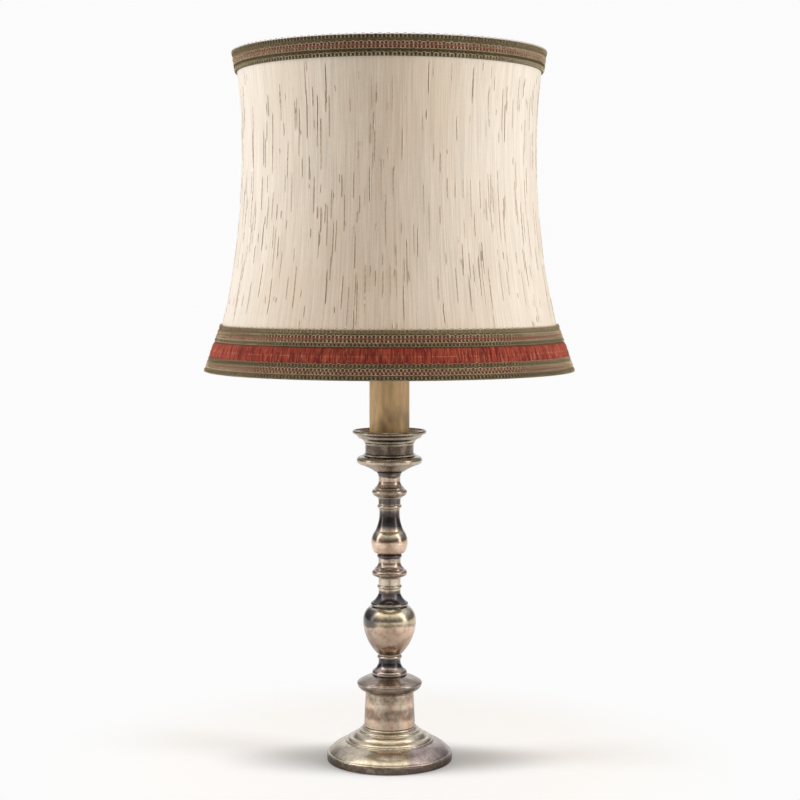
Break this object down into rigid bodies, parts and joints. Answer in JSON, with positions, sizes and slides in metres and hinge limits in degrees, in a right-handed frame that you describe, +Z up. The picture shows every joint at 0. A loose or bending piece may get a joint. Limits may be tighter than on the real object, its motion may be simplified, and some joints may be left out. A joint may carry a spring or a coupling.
{
  "type": "candlestick table lamp",
  "caption": "Table lamp made from a turned silver-plated candlestick, with a candle sleeve over the lampholder and a waisted silk shade trimmed with braid and velvet.",
  "frame": {"origin": "the centre of the felt pad's underside, on the surface that the lamp stands on", "axes": "+Z up along the lamp's axis, the cord bush at the back towards +Y, the front towards -Y"},
  "size_m": [0.3056, 0.3056, 0.583],
  "materials": {
    "silver_plate": "worn silver plate over copper, tarnished in the hollows",
    "iron": "rough casting",
    "steel": "plain zinc-plated",
    "brass": "plain",
    "felt": "pressed wool felt",
    "rubber": "matt",
    "sleeve_card": "aged parchment card with wax-coloured streaks",
    "phenolic": "moulded phenolic",
    "ceramic": "unglazed steatite",
    "frame_wire": "white lacquered wire",
    "liner": "stiff laminated card",
    "silk": "ivory slub silk",
    "gimp": "woven gimp braid",
    "velvet": "brick-red velvet ribbon",
    "bulb_glass": "clear",
    "bulb_metal": "bright",
    "black_glass": "black glass insulator",
    "tungsten": "drawn wire"
  },
  "bodies": {
    "stand": {"foot": "silver_plate", "felt_pad": "felt", "base_plate": "steel", "ballast_weight": "iron", "rod_washer": "steel", "rod_nut": "steel", "cord_bush": "rubber", "threaded_rod": "steel", "pedestal_drum": "silver_plate", "pedestal_cap": "silver_plate", "lower_collar": "silver_plate", "vase": "silver_plate", "vase_cap": "silver_plate", "lower_knop": "silver_plate", "baluster": "silver_plate", "upper_knop": "silver_plate", "candle_cup": "silver_plate", "drip_pan": "silver_plate", "centring_disc": "brass", "stack_nut": "brass", "candle_sleeve": "sleeve_card", "sleeve_cap": "brass", "lampholder_base": "phenolic", "contact_block": "ceramic", "terminal_screws": "brass", "screw_shell": "brass", "centre_contact": "brass", "lampholder_skirt": "phenolic"},
    "rest_ring": {"rest_ring": "phenolic"},
    "shade": {"fitter_ring": "frame_wire", "bottom_wire": "frame_wire", "top_wire": "frame_wire", "spider_arms": "frame_wire", "shade_liner": "liner", "shade_fabric": "silk", "top_gimp": "gimp", "upper_gimp": "gimp", "velvet_band": "velvet", "lower_gimp": "gimp"},
    "shade_ring": {"shade_ring_nut": "phenolic"},
    "bulb": {"bulb_contact": "bulb_metal", "bulb_insulator": "black_glass", "bulb_cap": "bulb_metal", "bulb_glass": "bulb_glass", "bulb_stem": "bulb_glass", "filament": "tungsten"}
  },
  "joints": [
    {"name": "shade_turn", "type": "hinge", "parent": "stand", "child": "rest_ring", "pos_m": [0, 0, 0.384], "axis": [0, 0, 1], "continuous": true},
    {"name": "shade_lift", "type": "slide", "parent": "rest_ring", "child": "shade", "axis": [0, 0, 1], "range_m": [0, 0.21]},
    {"name": "ring_nut_turn", "type": "hinge", "parent": "shade", "child": "shade_ring", "pos_m": [0, 0, 0.388], "axis": [0, 0, 1], "continuous": true},
    {"name": "bulb_turn", "type": "hinge", "parent": "stand", "child": "bulb", "pos_m": [0, 0, 0.39], "axis": [0, 0, 1], "continuous": true}
  ]
}
